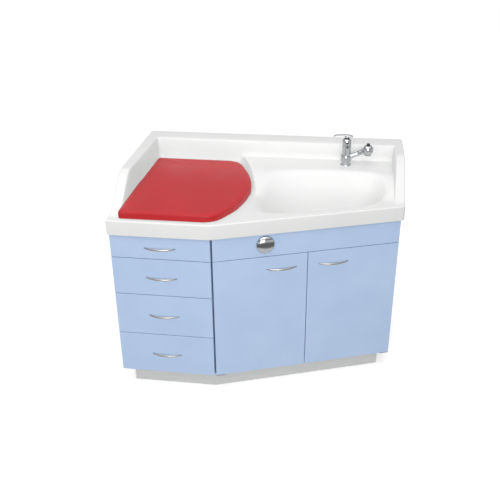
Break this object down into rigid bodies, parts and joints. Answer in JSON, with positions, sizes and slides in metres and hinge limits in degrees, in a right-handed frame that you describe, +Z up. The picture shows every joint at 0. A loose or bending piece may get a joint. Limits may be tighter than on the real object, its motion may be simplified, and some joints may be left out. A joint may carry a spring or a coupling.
{
  "type": "changing table",
  "caption": "Wall-side changing table with soft mat, moulded bath and tap over a drawer unit and an angled two-door cupboard.",
  "frame": {"origin": "centre of the footprint box at floor level", "axes": "+X right along the wall (longest), +Y towards the wall (shortest), +Z up"},
  "size_m": [1.314, 0.868, 1.113],
  "materials": {
    "white_composite": "glossy gelcoat",
    "white_board": "satin melamine facing",
    "blue_front": "satin laminate",
    "plinth_board": "brushed metal-look laminate",
    "black_plastic": "matte",
    "coated_steel": "powder coat",
    "zinc_steel": "zinc plated",
    "satin_steel": "satin",
    "chrome": "polished",
    "brass": "plain turned",
    "copper": "drawn tube",
    "white_plastic": "moulded",
    "red_vinyl": "satin grained vinyl"
  },
  "bodies": {
    "cabinet": {"corner_filler": "black_plastic", "cupboard_back": "white_board", "cupboard_bottom": "white_board", "cupboard_left_side": "white_board", "cupboard_right_side": "white_board", "drawer_runners": "zinc_steel", "drawer_unit_back": "white_board", "drawer_unit_bottom": "white_board", "drawer_unit_rails": "white_board", "drawer_unit_side": "white_board", "fascia": "blue_front", "fascia_rail": "white_board", "pivot_brackets_bottom": "zinc_steel", "pivot_brackets_top": "zinc_steel", "pivot_screws": "zinc_steel", "plinth_angled": "plinth_board", "plinth_back": "plinth_board", "plinth_front": "plinth_board", "plinth_left": "plinth_board", "plinth_right": "plinth_board", "shelf": "white_board", "shelf_supports": "white_board", "side_left": "white_board", "tap_base": "chrome", "tap_column": "chrome", "tap_nut": "brass", "tap_tails": "copper", "trap": "white_plastic", "wall_rail": "white_board", "waste_body": "white_plastic", "waste_cable": "black_plastic", "waste_control": "brass", "waste_flange": "chrome", "waste_pipe": "white_plastic", "worktop": "white_composite"},
    "drawer_1": {"drawer_1_front": "blue_front", "drawer_1_box": "coated_steel", "drawer_1_handle": "satin_steel"},
    "drawer_2": {"drawer_2_front": "blue_front", "drawer_2_box": "coated_steel", "drawer_2_handle": "satin_steel"},
    "drawer_3": {"drawer_3_front": "blue_front", "drawer_3_box": "coated_steel", "drawer_3_handle": "satin_steel"},
    "drawer_4": {"drawer_4_front": "blue_front", "drawer_4_box": "coated_steel", "drawer_4_handle": "satin_steel"},
    "door_left": {"door_left": "blue_front", "door_left_handle": "satin_steel"},
    "door_right": {"door_right": "blue_front", "door_right_handle": "satin_steel"},
    "waste_knob": {"waste_knob": "chrome"},
    "waste_plug": {"waste_plug": "chrome"},
    "tap_hub": {"tap_hub": "chrome"},
    "tap_lever": {"tap_lever": "chrome"},
    "spout": {"spout_arm": "chrome"},
    "shower": {"hand_shower": "chrome", "spray_face": "black_plastic"},
    "shower_button": {"shower_button": "black_plastic"},
    "mat": {"mat": "red_vinyl"}
  },
  "joints": [
    {"name": "drawer_1_slide", "type": "slide", "parent": "cabinet", "child": "drawer_1", "axis": [0, -1, 0], "range_m": [0, 0.42]},
    {"name": "drawer_2_slide", "type": "slide", "parent": "cabinet", "child": "drawer_2", "axis": [0, -1, 0], "range_m": [0, 0.42]},
    {"name": "drawer_3_slide", "type": "slide", "parent": "cabinet", "child": "drawer_3", "axis": [0, -1, 0], "range_m": [0, 0.42]},
    {"name": "drawer_4_slide", "type": "slide", "parent": "cabinet", "child": "drawer_4", "axis": [0, -1, 0], "range_m": [0, 0.42]},
    {"name": "door_left_hinge", "type": "hinge", "parent": "cabinet", "child": "door_left", "pos_m": [-0.18072, -0.3946, 0.4], "axis": [0, 0, -1], "range_deg": [0, 95]},
    {"name": "door_right_hinge", "type": "hinge", "parent": "cabinet", "child": "door_right", "pos_m": [0.63635, -0.09721, 0.4], "axis": [0, 0, 1], "range_deg": [0, 95]},
    {"name": "waste_knob_turn", "type": "hinge", "parent": "cabinet", "child": "waste_knob", "pos_m": [0.04075, -0.32038, 0.779], "axis": [0.342, -0.9397, 0], "range_deg": [0, 100]},
    {"name": "waste_plug_lift", "type": "slide", "parent": "cabinet", "child": "waste_plug", "axis": [0, 0, 1], "range_m": [0, 0.0091]},
    {"name": "tap_turn", "type": "hinge", "parent": "cabinet", "child": "tap_hub", "pos_m": [0.378, 0.25, 1.07], "axis": [0, 0, 1], "range_deg": [-45, 45]},
    {"name": "tap_lift", "type": "hinge", "parent": "tap_hub", "child": "tap_lever", "pos_m": [0.378, 0.25, 1.08], "axis": [0, 1, 0], "range_deg": [0, 18]},
    {"name": "spout_swivel", "type": "hinge", "parent": "cabinet", "child": "spout", "pos_m": [0.378, 0.25, 0.994], "axis": [0, 0, 1], "range_deg": [-120, 15]},
    {"name": "shower_pull_out", "type": "slide", "parent": "spout", "child": "shower", "axis": [0.9191, 0, 0.3939], "range_m": [0, 0.25]},
    {"name": "shower_button_press", "type": "slide", "parent": "shower", "child": "shower_button", "axis": [0, 0, -1], "range_m": [0, 0.003], "stiffness_N_per_m": 400},
    {"name": "mat_lift_off", "type": "slide", "parent": "cabinet", "child": "mat", "axis": [0, 0, 1], "range_m": [0, 0.3]}
  ],
  "couplings": [
    {"joint": "waste_plug_lift", "follows": "waste_knob_turn", "m_per_rad": 0.00516}
  ]
}
